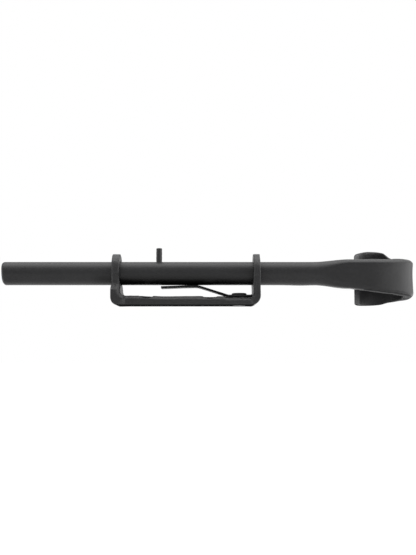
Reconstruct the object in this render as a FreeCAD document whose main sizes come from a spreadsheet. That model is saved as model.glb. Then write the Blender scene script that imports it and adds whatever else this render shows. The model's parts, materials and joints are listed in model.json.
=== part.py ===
import FreeCAD, Part

import math
import os

import Sketcher

# Forged sliding door bolt: a round rod with a curled pull loop slides in the two ears of a strap
# bracket. A pin on the rod stops it at either ear, and a riveted leaf spring rubs on its underside.
#
# Frame: +X runs along the rod from its nose towards the loop, +Z points away from the mounting
# face. The origin is the middle of the underside of the bracket's base. Millimetres and degrees.

doc = FreeCAD.newDocument("sliding_bolt")
sheet = doc.addObject("Spreadsheet::Sheet", "Sheet")

SIZES = {
    # rod
    "rod_diameter": 12.7,
    "rod_axis_height": 17.5,
    "nose_reach": 100.5,
    "nose_rounding": 1.5,
    "ear_clearance": 0.3,
    # rod end drawn out flat
    "neck_start": 66.0,
    "neck_step": 0.08,
    "neck_flat": 0.15,
    "neck_length": 23.0,
    "band_thickness": 7.0,
    "neck_front": 4.9,
    "neck_rise": 7.8,
    "neck_drop": 8.4,
    # pull loop
    "loop_centre": 110.0,
    "loop_radius": 16.3,
    "curl_angle": 270.0,
    "heel_rise": 7.6,
    "heel_drop": 10.9,
    "side_drop": 12.2,
    "crest_rise": 14.2,
    "crest_drop": 16.2,
    "tip_rise": 12.0,
    "tip_thickness": 2.9,
    "band_corner": 2.2,
    "tip_corner": 1.3,
    # stop pin
    "pin_diameter": 3.2,
    "pin_position": -14.7,
    "pin_height": 7.5,
    "pin_depth": 8.0,
    "pin_chamfer": 0.3,
    "pin_clearance": 0.03,
    # strap bracket
    "bracket_length": 80.2,
    "strap_width": 25.4,
    "base_thickness": 4.7,
    "front_ear_thickness": 4.5,
    "rear_ear_thickness": 3.7,
    "ear_wall": 3.9,
    "ear_flat": 0.6,
    "shoulder_top": 12.4,
    "shoulder_foot": 8.6,
    "shoulder_round": 3.0,
    "outer_bend": 5.0,
    "inner_bend": 1.3,
    "edge_softness": 0.9,
    # screw holes in the base
    "screw_pitch_x": 34.0,
    "screw_pitch_y": 15.6,
    "screw_hole": 4.2,
    "screw_head": 7.6,
    "screw_shift": -4.0,
    "screw_sink_slope": 45.0,
    # leaf spring
    "spring_width": 9.5,
    "spring_thickness": 1.1,
    "spring_clearance": 0.25,
    "spring_slope": 19.0,
    "foot_length": 14.9,
    "spring_reach": 34.9,
    "spring_droop": 0.7,
    "toe_bend": 3.0,
    "knee_bend": 12.0,
    "heel_gap": 0.15,
    # rivet
    "rivet_setback": 7.5,
    "rivet_shank": 4.0,
    "rivet_head": 8.4,
    "rivet_head_height": 1.15,
    "rivet_bevel": 0.8,
    "rivet_tail": 6.6,
    "rivet_tail_height": 1.6,
    "rivet_clearance": 0.05,
}

for row, (alias, number) in enumerate(SIZES.items(), start=1):
    sheet.set(f"A{row}", alias)
    sheet.set(f"B{row}", str(number))
    sheet.setAlias(f"B{row}", alias)
doc.recompute()


def value(expression):
    """The number that an expression of the sheet's cells gives."""
    return float(sheet.evalExpression(expression))


def cell(alias):
    return f"Sheet.{alias}"


# Places that more than one piece shares
ROD_RADIUS = "Sheet.rod_diameter / 2"
BORE_RADIUS = f"({ROD_RADIUS} + Sheet.ear_clearance)"
HALF_LENGTH = "Sheet.bracket_length / 2"
FRONT_FACE = f"(Sheet.front_ear_thickness - {HALF_LENGTH})"
REAR_FACE = f"({HALF_LENGTH} - Sheet.rear_ear_thickness)"
RIVET_PLACE = f"({REAR_FACE} - Sheet.rivet_setback)"
EAR_TOP = f"(Sheet.rod_axis_height + {BORE_RADIUS} + Sheet.ear_wall)"
LOOP_OFFSET = "(Sheet.loop_radius - Sheet.band_thickness / 2)"

FULL_TURN = 360.0
# How far apart two places may lie and still count as the same
SAME = 0.001


def new_body(label, x="0", y="0", z="0"):
    """A body whose own frame lies at x, y, z of the part."""
    body = doc.addObject("PartDesign::Body", label)
    body.Label = label
    for axis, place in zip("xyz", (x, y, z)):
        if place != "0":
            body.setExpression(f"Placement.Base.{axis}", place)
    return body


def new_sketch(body, name, plane, shift=("0", "0", "0"), turn="0"):
    """A sketch on an origin plane of its body, moved by shift and turned about its own Y axis."""
    sketch = body.newObject("Sketcher::SketchObject", name)
    support = next(item for item in body.Origin.OriginFeatures if item.Role == plane)
    sketch.AttachmentSupport = (support, [""])
    sketch.MapMode = "FlatFace"
    if turn != "0":
        rotation = FreeCAD.Rotation(FreeCAD.Vector(0, 1, 0), value(turn))
        sketch.AttachmentOffset = FreeCAD.Placement(FreeCAD.Vector(), rotation)
        sketch.setExpression("AttachmentOffset.Rotation.Angle", turn)
    for axis, place in zip("xyz", shift):
        if place != "0":
            sketch.setExpression(f"AttachmentOffset.Base.{axis}", place)
    return sketch


def hold(sketch, kind, *where, size):
    """A driven dimension of a sketch."""
    index = sketch.addConstraint(Sketcher.Constraint(kind, *where, value(size)))
    sketch.setExpression(f"Constraints[{index}]", size)


def hold_point(sketch, element, end, x, y):
    hold(sketch, "DistanceX", -1, 1, element, end, size=x)
    hold(sketch, "DistanceY", -1, 1, element, end, size=y)


def draw_outline(sketch, corners, closed=True):
    """Lines through corners. Each corner is x, y and the radius that rounds it, or None."""
    count = len(corners)
    places = [FreeCAD.Vector(value(x), value(y), 0) for x, y, _ in corners]
    cuts = []
    for index, (_, _, radius) in enumerate(corners):
        corner = places[index]
        back = (places[index - 1] - corner).normalize()
        ahead = (places[(index + 1) % count] - corner).normalize()
        reach = 0.0
        if radius is not None:
            reach = value(radius) / math.tan(back.getAngle(ahead) / 2)
        cuts.append((corner + back * reach, corner + ahead * reach))
    lines = []
    for index in range(count if closed else count - 1):
        start = cuts[index][1]
        end = cuts[(index + 1) % count][0]
        lines.append(sketch.addGeometry(Part.LineSegment(start, end), False))
    if not closed:
        hold_point(sketch, lines[0], 1, *corners[0][:2])
        hold_point(sketch, lines[-1], 2, *corners[-1][:2])
    for index in range(0 if closed else 1, len(lines)):
        x, y, radius = corners[index]
        before = lines[index - 1]
        after = lines[index]
        if radius is None:
            sketch.addConstraint(Sketcher.Constraint("Coincident", before, 2, after, 1))
            hold_point(sketch, after, 1, x, y)
        else:
            round_corner(sketch, before, after, cuts[index], places[index], (x, y, radius))


def round_corner(sketch, before, after, cut, corner, sizes):
    """An arc between two lines, tangent to both, whose sharp corner keeps its place."""
    x, y, radius = sizes
    inward = (cut[0] + cut[1]) * 0.5 - corner
    half = (cut[0] - corner).getAngle(inward)
    centre = corner + inward.normalize() * (value(radius) / math.sin(half))
    first = cut[0] - centre
    last = cut[1] - centre
    left_turn = first.cross(last).z > 0
    start, end = (first, last) if left_turn else (last, first)
    circle = Part.Circle(centre, FreeCAD.Vector(0, 0, 1), value(radius))
    angles = [math.atan2(ray.y, ray.x) for ray in (start, end)]
    arc = sketch.addGeometry(Part.ArcOfCircle(circle, *angles), False)
    point = sketch.addGeometry(Part.Point(corner), True)
    first_end, last_end = (1, 2) if left_turn else (2, 1)
    sketch.addConstraint(Sketcher.Constraint("Tangent", before, 2, arc, first_end))
    sketch.addConstraint(Sketcher.Constraint("Tangent", arc, last_end, after, 1))
    sketch.addConstraint(Sketcher.Constraint("PointOnObject", point, 1, before))
    sketch.addConstraint(Sketcher.Constraint("PointOnObject", point, 1, after))
    hold(sketch, "Radius", arc, size=radius)
    hold_point(sketch, point, 1, x, y)


def draw_circle(sketch, x, y, radius):
    centre = FreeCAD.Vector(value(x), value(y), 0)
    circle = Part.Circle(centre, FreeCAD.Vector(0, 0, 1), value(radius))
    element = sketch.addGeometry(circle, False)
    hold_point(sketch, element, 3, x, y)
    hold(sketch, "Radius", element, size=radius)


def add_pad(body, name, sketch, length, middle=False):
    pad = body.newObject("PartDesign::Pad", name)
    pad.Profile = sketch
    pad.Midplane = middle
    pad.setExpression("Length", length)
    doc.recompute()
    return pad


def add_turned(body, name, sketch, axis):
    turned = body.newObject("PartDesign::Revolution", name)
    turned.Profile = sketch
    turned.ReferenceAxis = (sketch, [axis])
    turned.Angle = FULL_TURN
    doc.recompute()
    return turned


def add_pocket(body, name, sketch, length=None, middle=False, along=False):
    """A cut that must take something away: right through, or of a length, against its normal
    or along it."""
    before = body.Shape.Volume
    pocket = body.newObject("PartDesign::Pocket", name)
    pocket.Profile = sketch
    pocket.Midplane = middle
    pocket.Reversed = along
    if length is None:
        pocket.Type = "ThroughAll"
    else:
        pocket.setExpression("Length", length)
    doc.recompute()
    if body.Shape.Volume >= before:
        raise RuntimeError(f"{body.Label}: {name} cuts nothing")
    return pocket


def blend(share):
    """Smooth step from 0 to 1."""
    share = min(1.0, max(0.0, share))
    return share * share * (3.0 - 2.0 * share)


def between(first, last, share):
    """Expression for a value that lies a share of the way between two others."""
    return f"({first} + ({last} - {first}) * {share:.4f})"


def draw_section(body, name, inner, outer, rise, drop, corner, shift, turn="0"):
    """A rounded rectangle across the bar, inner and outer measured along the sketch's X."""
    sketch = new_sketch(body, name, "YZ_Plane", shift=shift, turn=turn)
    draw_outline(sketch, [
        (outer, f"-{drop}", corner),
        (inner, f"-{drop}", corner),
        (inner, rise, corner),
        (outer, rise, corner),
    ])
    return sketch


# --- bolt rod: nose, round rod, neck drawn out flat, curled and flared band ---------------------

bolt_rod = new_body("bolt_rod", z=cell("rod_axis_height"))

rod_profile = new_sketch(bolt_rod, "rod_profile", "XZ_Plane")
draw_outline(rod_profile, [
    ("-Sheet.nose_reach", "0", None),
    ("-Sheet.nose_reach", ROD_RADIUS, cell("nose_rounding")),
    (cell("neck_start"), ROD_RADIUS, None),
    (cell("neck_start"), "0", None),
])
add_turned(bolt_rod, "rod", rod_profile, "H_Axis")


# The neck starts just inside the round rod, so that the rod's end face carries it. It stays round
# for a short way and then eases into the flat band.
START_HALF = f"({ROD_RADIUS} - Sheet.neck_step)"
START_CORNER = f"({START_HALF} - Sheet.neck_flat)"
HALF_BAND = "(Sheet.band_thickness / 2)"
NECK_EASES = 0.12
NECK_STATIONS = (0.0, NECK_EASES, 0.4, 0.7, 1.0)

sections = []
for number, share in enumerate(NECK_STATIONS):
    step = blend((share - NECK_EASES) / (1.0 - NECK_EASES))
    front = between(START_HALF, cell("neck_front"), step)
    sections.append(draw_section(
        bolt_rod,
        f"neck_section_{number}",
        between(START_HALF, HALF_BAND, step),
        f"-{front}",
        between(START_HALF, cell("neck_rise"), step),
        between(START_HALF, cell("neck_drop"), step),
        between(START_CORNER, cell("band_corner"), step),
        shift=("0", "0", f"(Sheet.neck_start + Sheet.neck_length * {share:.4f})"),
    ))

# Between the neck and the loop the bar runs on straight and grows a little taller. Its front face
# is hammered back more gently than its back, and reaches the band's own thickness at the loop.
NECK_END = "(Sheet.neck_start + Sheet.neck_length)"
FLAT_STATIONS = (0.33, 0.67)
for number, share in enumerate(FLAT_STATIONS):
    front = between(cell("neck_front"), HALF_BAND, share)
    sections.append(draw_section(
        bolt_rod,
        f"flat_section_{number}",
        HALF_BAND,
        f"-{front}",
        between(cell("neck_rise"), cell("heel_rise"), share),
        between(cell("neck_drop"), cell("heel_drop"), share),
        cell("band_corner"),
        shift=("0", "0", between(NECK_END, cell("loop_centre"), share)),
    ))

# Round the loop the sketches share its centre, and the bar's outer face keeps to the loop's circle.
# Its upper and lower edges swing out over these shares of the curl, and the tip drops back a little.
LOOP_STATIONS = 18
RISE_STARTS = 0.45
RISE_ENDS = 0.68
DROP_STARTS = 0.35
DROP_ENDS = 0.76
for number in range(LOOP_STATIONS + 1):
    share = number / LOOP_STATIONS
    thickness = between(cell("band_thickness"), cell("tip_thickness"), share)
    if share <= RISE_ENDS:
        step = blend((share - RISE_STARTS) / (RISE_ENDS - RISE_STARTS))
        rise = between(cell("heel_rise"), cell("crest_rise"), step)
    else:
        step = blend((share - RISE_ENDS) / (1.0 - RISE_ENDS))
        rise = between(cell("crest_rise"), cell("tip_rise"), step)
    if share <= DROP_STARTS:
        drop = between(cell("heel_drop"), cell("side_drop"), share / DROP_STARTS)
    else:
        step = blend((share - DROP_STARTS) / (DROP_ENDS - DROP_STARTS))
        drop = between(cell("side_drop"), cell("crest_drop"), step)
    sections.append(draw_section(
        bolt_rod,
        f"loop_section_{number}",
        f"({thickness} - Sheet.loop_radius)",
        "-Sheet.loop_radius",
        rise,
        drop,
        between(cell("band_corner"), cell("tip_corner"), share),
        shift=(LOOP_OFFSET, "0", cell("loop_centre")),
        turn=f"(Sheet.curl_angle * {share:.4f} * 1 deg)",
    ))
doc.recompute()

band = bolt_rod.newObject("PartDesign::AdditiveLoft", "band")
band.Profile = sections[0]
band.Sections = sections[1:]
doc.recompute()

PIN_FLOOR = f"({ROD_RADIUS} - Sheet.pin_depth)"
pin_hole = new_sketch(bolt_rod, "pin_hole", "XY_Plane", shift=("0", "0", PIN_FLOOR))
draw_circle(pin_hole, cell("pin_position"), "0", "(Sheet.pin_diameter / 2 + Sheet.pin_clearance)")
add_pocket(bolt_rod, "pin_bore", pin_hole, length=cell("rod_diameter"), along=True)

# --- stop pin: driven into the rod's cross bore, its top edge broken -----------------------------

stop_pin = new_body("stop_pin", x=cell("pin_position"), z=cell("rod_axis_height"))

PIN_RADIUS = "(Sheet.pin_diameter / 2)"
PIN_TOP = f"({ROD_RADIUS} + Sheet.pin_height)"
pin_profile = new_sketch(stop_pin, "pin_profile", "XZ_Plane")
draw_outline(pin_profile, [
    ("0", PIN_FLOOR, None),
    (PIN_RADIUS, PIN_FLOOR, None),
    (PIN_RADIUS, f"({PIN_TOP} - Sheet.pin_chamfer)", None),
    (f"({PIN_RADIUS} - Sheet.pin_chamfer)", PIN_TOP, None),
    ("0", PIN_TOP, None),
])
add_turned(stop_pin, "pin", pin_profile, "V_Axis")

# --- bracket: one strap bent into a base and two ears -------------------------------------------

bracket = new_body("bracket")

strap_profile = new_sketch(bracket, "strap_profile", "XZ_Plane")
draw_outline(strap_profile, [
    (f"(-{HALF_LENGTH})", EAR_TOP, None),
    (f"(-{HALF_LENGTH})", "0", cell("outer_bend")),
    (HALF_LENGTH, "0", cell("outer_bend")),
    (HALF_LENGTH, EAR_TOP, None),
    (REAR_FACE, EAR_TOP, None),
    (REAR_FACE, cell("base_thickness"), cell("inner_bend")),
    (FRONT_FACE, cell("base_thickness"), cell("inner_bend")),
    (FRONT_FACE, EAR_TOP, None),
])
add_pad(bracket, "strap", strap_profile, cell("strap_width"), middle=True)

# Each ear's top is a half round with a short flat left at its crown. The rear ear is as wide as
# the strap. The front ear is drawn in to an even wall round its bore, above a shoulder.
HALF_WIDTH = "(Sheet.strap_width / 2)"
FRONT_HALF = f"({BORE_RADIUS} + Sheet.ear_wall)"
SIDE = f"({HALF_WIDTH} + Sheet.ear_wall)"
CAP = "Sheet.ear_wall"


def round_ear(name, half, below, along):
    """Cuts an ear to a half round of that half width. The corners below it are those of its left
    side, from the bottom upwards."""
    sketch = new_sketch(bracket, f"{name}_round", "YZ_Plane", shift=("0", EAR_TOP, "0"))
    top = f"({half} - Sheet.ear_flat / 2)"
    left = [(f"(-{y})", z, radius) for y, z, radius in below] + [(f"(-{half})", "0", top)]
    right = [(half, "0", top)] + list(reversed(below))
    start = below[0][1]
    draw_outline(sketch, [
        (f"(-{SIDE})", start, None), *left, *right,
        (SIDE, start, None), (SIDE, CAP, None), (f"(-{SIDE})", CAP, None),
    ])
    add_pocket(bracket, f"{name}_rounding", sketch, along=along)


SHOULDER_TOP = f"(Sheet.shoulder_top - {EAR_TOP})"
SHOULDER_FOOT = f"(Sheet.shoulder_foot - {EAR_TOP})"
round_ear("rear_ear", HALF_WIDTH, [(HALF_WIDTH, f"(-{HALF_WIDTH})", None)], along=True)
round_ear("front_ear", FRONT_HALF, [
    (HALF_WIDTH, f"({SHOULDER_FOOT} - Sheet.shoulder_round / 2)", None),
    (HALF_WIDTH, SHOULDER_FOOT, cell("shoulder_round")),
    (FRONT_HALF, SHOULDER_TOP, cell("shoulder_round")),
], along=False)

# The strap's long edges are hammered soft, right round both ears.
soft_edges = []
for number, edge in enumerate(bracket.Shape.Edges, start=1):
    box = edge.BoundBox
    on_side = abs(abs(box.YMin) - value(HALF_WIDTH)) < SAME and box.YLength < SAME
    seam = box.ZLength < SAME and box.ZMin > value(cell("base_thickness")) + SAME
    if on_side and not seam:
        soft_edges.append(f"Edge{number}")
rounded_ears = bracket.Tip
softened = bracket.newObject("PartDesign::Fillet", "softened_edges")
softened.Base = (rounded_ears, soft_edges)
softened.setExpression("Radius", cell("edge_softness"))
doc.recompute()

ear_bore = new_sketch(bracket, "ear_bore", "YZ_Plane")
draw_circle(ear_bore, "0", cell("rod_axis_height"), BORE_RADIUS)
add_pocket(bracket, "rod_bores", ear_bore, middle=True)

screw_holes = new_sketch(bracket, "screw_holes", "XY_Plane")
screw_sinks = new_sketch(bracket, "screw_sinks", "XY_Plane", shift=("0", "0", cell("base_thickness")))
for side_x in ("-", ""):
    for side_y in ("-", ""):
        x = f"({side_x}Sheet.screw_pitch_x / 2 + Sheet.screw_shift)"
        y = f"({side_y}Sheet.screw_pitch_y / 2)"
        draw_circle(screw_holes, x, y, "(Sheet.screw_hole / 2)")
        draw_circle(screw_sinks, x, y, "(Sheet.screw_head / 2)")
add_pocket(bracket, "screw_bores", screw_holes, length=cell("base_thickness"), along=True)

SINK_DEPTH = "((Sheet.screw_head - Sheet.screw_hole) / 2 / tan(Sheet.screw_sink_slope * 1 deg))"
sinks = add_pocket(bracket, "screw_countersinks", screw_sinks, length=SINK_DEPTH)
before = bracket.Shape.Volume
sinks.setExpression("TaperAngle", "-Sheet.screw_sink_slope")
doc.recompute()
if bracket.Shape.Volume <= before:
    raise RuntimeError("the countersinks aren't cones")

# The rivet's hole, with a countersink underneath that its tail fills.
RIVET_HOLE = "(Sheet.rivet_shank / 2 + Sheet.rivet_clearance)"
TAIL_HOLE = "(Sheet.rivet_tail / 2 + Sheet.rivet_clearance)"
rivet_bore = new_sketch(bracket, "rivet_bore", "XZ_Plane", shift=(RIVET_PLACE, "0", "0"))
draw_outline(rivet_bore, [
    ("0", "0", None),
    (TAIL_HOLE, "0", None),
    (RIVET_HOLE, cell("rivet_tail_height"), None),
    (RIVET_HOLE, cell("base_thickness"), None),
    ("0", cell("base_thickness"), None),
])
before = bracket.Shape.Volume
groove = bracket.newObject("PartDesign::Groove", "rivet_countersink")
groove.Profile = rivet_bore
groove.ReferenceAxis = (rivet_bore, ["V_Axis"])
groove.Angle = FULL_TURN
doc.recompute()
if bracket.Shape.Volume >= before:
    raise RuntimeError("the rivet's hole cuts nothing")

# --- leaf spring: a strip swept along its side view ----------------------------------------------

leaf_spring = new_body("leaf_spring", z=cell("base_thickness"))

HALF_SPRING = "(Sheet.spring_thickness / 2)"
ROD_UNDERSIDE = f"(Sheet.rod_axis_height - {ROD_RADIUS} - Sheet.base_thickness)"
KNEE_TOP = f"({ROD_UNDERSIDE} - Sheet.spring_clearance)"
KNEE_LINE = f"({KNEE_TOP} - {HALF_SPRING})"
TIP_LINE = f"({KNEE_LINE} - Sheet.spring_droop)"
FOOT_END = f"({REAR_FACE} - Sheet.inner_bend - Sheet.heel_gap)"
CLIMB = f"({KNEE_LINE} - {HALF_SPRING})"
TOE_PLACE = f"({REAR_FACE} - Sheet.foot_length)"
KNEE_PLACE = f"({TOE_PLACE} - {CLIMB} / tan(Sheet.spring_slope * 1 deg))"
TIP_PLACE = f"({TOE_PLACE} - Sheet.spring_reach)"

spring_path = new_sketch(leaf_spring, "spring_path", "XZ_Plane")
draw_outline(spring_path, [
    (FOOT_END, HALF_SPRING, None),
    (TOE_PLACE, HALF_SPRING, cell("toe_bend")),
    (KNEE_PLACE, KNEE_LINE, cell("knee_bend")),
    (TIP_PLACE, TIP_LINE, None),
], closed=False)

HALF_STRIP = "(Sheet.spring_width / 2)"
spring_section = new_sketch(leaf_spring, "spring_section", "YZ_Plane", shift=("0", "0", FOOT_END))
draw_outline(spring_section, [
    (f"(-{HALF_STRIP})", "0", None),
    (HALF_STRIP, "0", None),
    (HALF_STRIP, cell("spring_thickness"), None),
    (f"(-{HALF_STRIP})", cell("spring_thickness"), None),
])
strip = leaf_spring.newObject("PartDesign::AdditivePipe", "strip")
strip.Profile = spring_section
strip.Spine = (spring_path, [])
doc.recompute()

spring_hole = new_sketch(leaf_spring, "spring_hole", "XY_Plane")
draw_circle(spring_hole, RIVET_PLACE, "0", RIVET_HOLE)
add_pocket(leaf_spring, "rivet_hole", spring_hole, length=cell("spring_thickness"), along=True)

# --- rivet: bevelled head on the spring's foot, tail hammered into the base's countersink --------

spring_rivet = new_body("spring_rivet", x=RIVET_PLACE)

SHANK = "(Sheet.rivet_shank / 2)"
HEAD = "(Sheet.rivet_head / 2)"
TAIL = "(Sheet.rivet_tail / 2)"
SEAT = "(Sheet.base_thickness + Sheet.spring_thickness)"
CROWN = f"({SEAT} + Sheet.rivet_head_height)"
rivet_profile = new_sketch(spring_rivet, "rivet_profile", "XZ_Plane")
draw_outline(rivet_profile, [
    ("0", cell("rivet_clearance"), None),
    (TAIL, cell("rivet_clearance"), None),
    (SHANK, "(Sheet.rivet_tail_height + Sheet.rivet_clearance)", None),
    (SHANK, SEAT, None),
    (HEAD, SEAT, None),
    (HEAD, f"({CROWN} - Sheet.rivet_bevel / 2)", None),
    (f"({HEAD} - Sheet.rivet_bevel)", CROWN, None),
    ("0", CROWN, None),
])
add_turned(spring_rivet, "rivet", rivet_profile, "V_Axis")

# --- checks and files ----------------------------------------------------------------------------

doc.recompute()
for item in doc.Objects:
    if "Invalid" in item.State or "Error" in item.State:
        raise RuntimeError(f"{item.Name} failed: {item.State}")

os.makedirs("parts", exist_ok=True)
for body in (bolt_rod, stop_pin, bracket, leaf_spring, spring_rivet):
    shape = body.Shape
    if shape.isNull() or not shape.isValid() or len(shape.Solids) != 1:
        raise RuntimeError(f"{body.Label} is not one valid solid")
    shape.exportStep(f"parts/{body.Label}.step")
    box = shape.optimalBoundingBox()
    spans = " ".join(f"{low:.2f}..{high:.2f}" for low, high in (
        (box.XMin, box.XMax), (box.YMin, box.YMax), (box.ZMin, box.ZMax)))
    print(f"{body.Label}: {spans} mm, {shape.Volume:.0f} mm3")
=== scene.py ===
# %% [markdown]
# # A forged sliding bolt
# The object is a blacksmith's surface bolt. A round bar slides in the two ears of a bent strap.
# One end of the bar is hammered flat, curled into a finger loop and flared. A pin through the bar
# stops it at either ear, and a riveted leaf spring rubs on its underside. All of it wears the same
# satin black coat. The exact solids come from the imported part. They stay in place for the physics,
# and this file gives each of them a finer skin of the same size.

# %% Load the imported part
import json
import math

import bmesh
import bpy
import numpy as np
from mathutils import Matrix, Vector


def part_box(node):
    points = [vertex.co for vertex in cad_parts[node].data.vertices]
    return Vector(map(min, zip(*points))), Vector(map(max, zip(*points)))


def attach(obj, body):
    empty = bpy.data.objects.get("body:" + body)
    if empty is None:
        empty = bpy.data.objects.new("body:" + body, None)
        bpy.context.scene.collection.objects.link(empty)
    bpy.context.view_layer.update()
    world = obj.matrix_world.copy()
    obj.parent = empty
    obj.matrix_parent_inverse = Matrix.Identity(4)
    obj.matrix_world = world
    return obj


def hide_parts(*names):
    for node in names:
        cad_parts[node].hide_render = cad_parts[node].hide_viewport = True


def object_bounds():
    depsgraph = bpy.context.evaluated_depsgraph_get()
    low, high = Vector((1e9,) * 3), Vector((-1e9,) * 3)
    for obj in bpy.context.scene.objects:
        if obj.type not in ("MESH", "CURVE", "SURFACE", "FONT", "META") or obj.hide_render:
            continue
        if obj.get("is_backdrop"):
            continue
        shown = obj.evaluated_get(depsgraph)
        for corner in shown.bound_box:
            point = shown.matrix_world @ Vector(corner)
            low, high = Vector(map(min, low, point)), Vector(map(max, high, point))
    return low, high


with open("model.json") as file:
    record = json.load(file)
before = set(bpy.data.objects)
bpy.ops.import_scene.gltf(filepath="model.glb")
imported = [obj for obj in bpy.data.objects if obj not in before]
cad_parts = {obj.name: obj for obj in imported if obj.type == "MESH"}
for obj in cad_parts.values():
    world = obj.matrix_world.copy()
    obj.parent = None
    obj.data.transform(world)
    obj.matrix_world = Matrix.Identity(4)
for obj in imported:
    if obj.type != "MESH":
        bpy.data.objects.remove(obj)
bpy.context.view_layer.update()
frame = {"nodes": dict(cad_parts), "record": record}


def say_box(name, low, high):
    """Prints a box in millimetres."""
    print(name, [round(float(v) * 1000, 2) for v in (*low, *high)])


for node_name in sorted(frame["nodes"]):
    low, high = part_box(node_name)
    say_box(node_name, low, high)

# %% [markdown]
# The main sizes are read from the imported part, so that the skins can't drift away from the solids.
# The nose mount gives the bar's radius and the height of its axis, and the boxes of the pieces give
# the strap, the loop and the spring. Everything is in metres, and MM turns a size in millimetres
# into metres.

# %% Read the main sizes
MM = 0.001

MOUNTS = {mount["name"]: mount for mount in frame["record"]["mounts"]}
NOSE = MOUNTS["bolt_nose"]
ROD_RADIUS = NOSE["dims"]["r_mm"] * MM
AXIS_HEIGHT = NOSE["pos_m"][2]
ROD_LOW, ROD_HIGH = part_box("bolt_rod")
PIN_LOW, PIN_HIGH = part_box("stop_pin")
STRAP_LOW, STRAP_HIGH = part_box("bracket")
SPRING_LOW, SPRING_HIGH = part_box("leaf_spring")
RIVET_LOW, RIVET_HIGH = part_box("spring_rivet")
print("rod radius", ROD_RADIUS, "axis height", AXIS_HEIGHT)

# %% [markdown]
# ## The studio
# The bolt is seen square on from the side, from a little below the strap. The floor therefore
# lies well under the part, where it still catches the part's shadow, and it runs out of sight into
# a white surround. The surround is white for the eye and in reflections through Light Path, and
# duller as a source of light, so that the black coat keeps its depth. Four soft lamps do the work
# of a simple light tent: a wide one overhead, one on either side and a weak one high at the left.

# %% Camera
LOOK_AT = Vector((11.95, 0.0, 15.38)) * MM
CAMERA_DISTANCE = 507.0 * MM
CAMERA_RISE = math.radians(4.2)
CAMERA_LENS = 60.34


def put_in_scene(name, data):
    """A new object with that data, in the scene."""
    made = bpy.data.objects.new(name, data)
    bpy.context.scene.collection.objects.link(made)
    return made


line_of_sight = Vector((0.0, math.cos(CAMERA_RISE), math.sin(CAMERA_RISE)))
camera_data = bpy.data.cameras.new("camera")
camera_data.lens = CAMERA_LENS
camera_data.sensor_width = 36.0
camera_data.clip_start = 0.01
camera = put_in_scene("camera", camera_data)
camera.location = LOOK_AT - line_of_sight * CAMERA_DISTANCE
camera.rotation_euler = line_of_sight.to_track_quat("-Z", "Y").to_euler()
bpy.context.scene.camera = camera
print("camera at", [round(v, 4) for v in camera.location])


# %% Helpers for node trees
def join(tree, source, target):
    """Feeds an input from a node's first output or another socket, or with a plain value."""
    if isinstance(source, bpy.types.Node):
        source = source.outputs[0]
    if isinstance(source, bpy.types.NodeSocket):
        tree.links.new(source, target)
    else:
        target.default_value = source


def add_node(tree, kind, **settings):
    """A node of that kind. A setting named after an input goes into it."""
    node = tree.nodes.new(kind)
    for name, value in settings.items():
        if name in node.inputs:
            join(tree, value, node.inputs[name])
        else:
            setattr(node, name, value)
    return node


def work_out(tree, operation, *values, clamp=False):
    """A Math node."""
    node = add_node(tree, "ShaderNodeMath", operation=operation, use_clamp=clamp)
    for value, socket in zip(values, node.inputs):
        join(tree, value, socket)
    return node


def times(tree, *values):
    """The product of all the values."""
    product = values[0]
    for value in values[1:]:
        product = work_out(tree, "MULTIPLY", product, value)
    return product


def ramp(tree, value, low, high, first=0.0, last=1.0, kind="LINEAR"):
    """A number that goes from first to last while the value goes from low to high."""
    return add_node(tree, "ShaderNodeMapRange", interpolation_type=kind, **{
        "Value": value, "From Min": low, "From Max": high, "To Min": first, "To Max": last})


def blend(tree, share, first, second):
    """A blend of two colours."""
    node = add_node(tree, "ShaderNodeMix", data_type="RGBA")
    for number, value in ((0, share), (6, first), (7, second)):
        join(tree, value, node.inputs[number])
    return node.outputs[2]


# %% Surround
def seen_directly(tree):
    """1 for rays from the eye, a reflection or through glass, 0 for rays that light things."""
    path = add_node(tree, "ShaderNodeLightPath")
    seen = work_out(tree, "MAXIMUM", path.outputs["Is Camera Ray"], path.outputs["Is Glossy Ray"])
    return work_out(tree, "MAXIMUM", seen, path.outputs["Is Transmission Ray"])


SURROUND_LIGHT = 0.50
world = bpy.data.worlds.new("surround")
world.use_nodes = True
bpy.context.scene.world = world
sky = world.node_tree
sky.nodes.clear()
white = work_out(sky, "MAXIMUM", seen_directly(sky), SURROUND_LIGHT)
surround = add_node(sky, "ShaderNodeBackground", Color=(1.0, 1.0, 1.0, 1.0), Strength=white)
add_node(sky, "ShaderNodeOutputWorld", Surface=surround)
print("the surround lights things with", SURROUND_LIGHT)

# %% Floor
FLOOR_DROP = 150.0 * MM
FLOOR_SIZE = 12.0
GLOW_NEAR, GLOW_FAR = 0.15, 1.0  # the floor's own glow, under the part and far from it

floor_mesh = bpy.data.meshes.new("floor")
half = FLOOR_SIZE / 2
corners = [(-half, -half), (half, -half), (half, half), (-half, half)]
floor_mesh.from_pydata([(x, y, STRAP_LOW.z - FLOOR_DROP) for x, y in corners], [], [(0, 1, 2, 3)])
floor = put_in_scene("floor", floor_mesh)
floor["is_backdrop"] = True

floor_finish = bpy.data.materials.new("white_floor")
floor_finish.use_nodes = True
tree = floor_finish.node_tree
tree.nodes.clear()
matt = add_node(tree, "ShaderNodeBsdfDiffuse", Color=(0.8, 0.8, 0.8, 1.0))
place = add_node(tree, "ShaderNodeTexCoord").outputs["Object"]
way_out = add_node(tree, "ShaderNodeVectorMath", operation="LENGTH", Vector=place)
strength = ramp(tree, way_out.outputs["Value"], 0.2, 0.6, GLOW_NEAR, GLOW_FAR)
glow = add_node(tree, "ShaderNodeEmission", Color=(1.0, 1.0, 1.0, 1.0),
                Strength=times(tree, seen_directly(tree), strength))
both = add_node(tree, "ShaderNodeAddShader")
join(tree, matt, both.inputs[0])
join(tree, glow, both.inputs[1])
add_node(tree, "ShaderNodeOutputMaterial", Surface=both)
floor_mesh.materials.append(floor_finish)
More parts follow.
